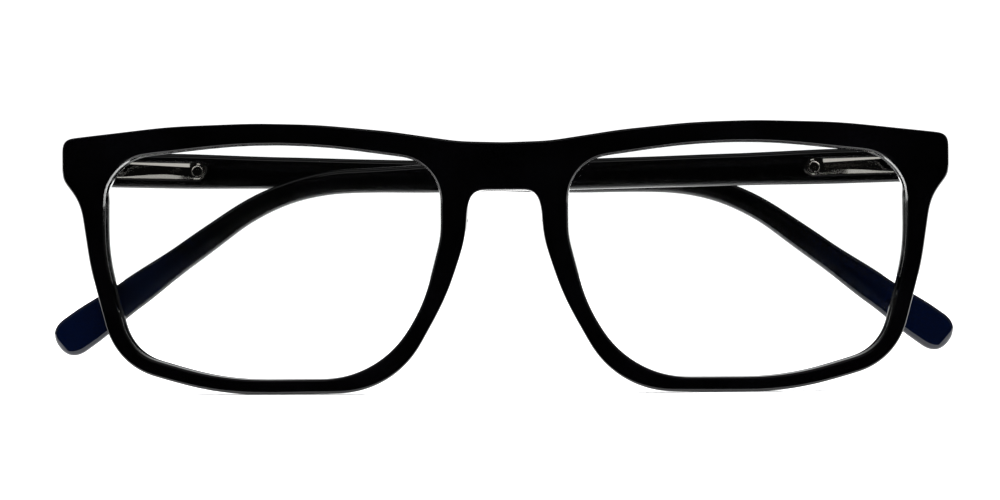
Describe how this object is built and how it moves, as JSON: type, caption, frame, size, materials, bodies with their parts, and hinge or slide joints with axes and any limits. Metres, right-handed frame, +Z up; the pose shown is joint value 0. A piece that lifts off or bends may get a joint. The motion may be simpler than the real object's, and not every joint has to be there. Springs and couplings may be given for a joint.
{
  "type": "eyeglasses frame",
  "caption": "Full-rim acetate eyeglasses frame with rounded rectangular clear lenses, moulded nose pads and folding temples on spring hinges.",
  "frame": {"origin": "middle of the bridge's front face, on the horizontal centre line of the lenses, where the nose carries the frame", "axes": "+X towards the wearer's left, +Y from the front towards the head, +Z up as worn"},
  "size_m": [0.1424, 0.0228, 0.0422],
  "materials": {
    "acetate": "polished black acetate",
    "clear_lens": "clear polished demo lens",
    "nickel_silver": "satin nickel silver",
    "screw_steel": "polished steel",
    "spring_steel": "drawn spring wire",
    "core_wire": "drawn nickel silver wire"
  },
  "bodies": {
    "front": {"front_frame": "acetate", "right_lens": "clear_lens", "left_lens": "clear_lens", "right_nose_pad": "acetate", "left_nose_pad": "acetate", "right_hinge_plate": "nickel_silver", "left_hinge_plate": "nickel_silver", "right_hinge_screw": "screw_steel", "left_hinge_screw": "screw_steel"},
    "right_slider": {"right_spring_slider": "nickel_silver", "right_slider_stop": "screw_steel"},
    "left_slider": {"left_spring_slider": "nickel_silver", "left_slider_stop": "screw_steel"},
    "right_arm": {"right_temple": "acetate", "right_core_wire": "core_wire", "right_spring_case": "nickel_silver", "right_case_plug": "screw_steel", "right_spring": "spring_steel"},
    "left_arm": {"left_temple": "acetate", "left_core_wire": "core_wire", "left_spring_case": "nickel_silver", "left_case_plug": "screw_steel", "left_spring": "spring_steel"}
  },
  "joints": [
    {"name": "right_fold", "type": "hinge", "parent": "front", "child": "right_slider", "pos_m": [-0.0643, 0.0137, 0.0149], "axis": [0, 0.0175, 0.9998], "range_deg": [0, 88.1]},
    {"name": "left_fold", "type": "hinge", "parent": "front", "child": "left_slider", "pos_m": [0.0643, 0.0137, 0.0149], "axis": [0, -0.0175, -0.9998], "range_deg": [0, 92]},
    {"name": "right_spring_travel", "type": "slide", "parent": "right_slider", "child": "right_arm", "axis": [0.9992, 0.0327, -0.025], "range_m": [0, 0.0015], "stiffness_N_per_m": 300, "springref_m": -0.002, "deforming": ["right_spring"]},
    {"name": "left_spring_travel", "type": "slide", "parent": "left_slider", "child": "left_arm", "axis": [-0.9991, -0.0353, -0.0238], "range_m": [0, 0.0015], "stiffness_N_per_m": 300, "springref_m": -0.002, "deforming": ["left_spring"]}
  ]
}
